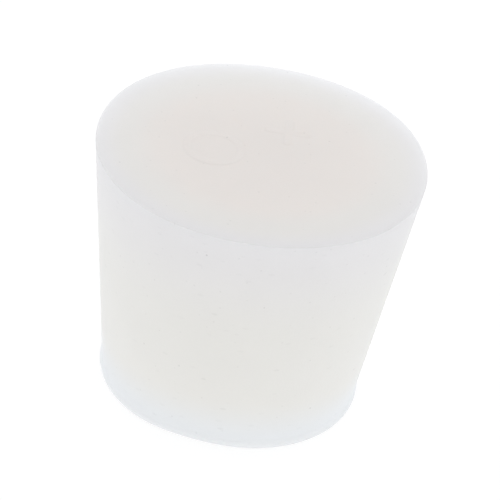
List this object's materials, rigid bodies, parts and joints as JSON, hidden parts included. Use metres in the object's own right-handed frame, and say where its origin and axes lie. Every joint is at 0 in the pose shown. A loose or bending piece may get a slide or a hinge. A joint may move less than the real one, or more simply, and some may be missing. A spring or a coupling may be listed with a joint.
{
  "type": "rubber stopper",
  "caption": "Solid tapered stopper of translucent white silicone rubber, pressed into the neck of a lab flask or tube to close it.",
  "frame": {"origin": "centre of the small end face, which the stopper stands on", "axes": "+Z along the axis of the taper, from the small end up to the wide end"},
  "size_m": [0.032, 0.032, 0.026],
  "materials": {
    "silicone": "translucent white, satin, as moulded"
  },
  "bodies": {
    "root": {"stopper": "silicone"}
  },
  "joints": []
}
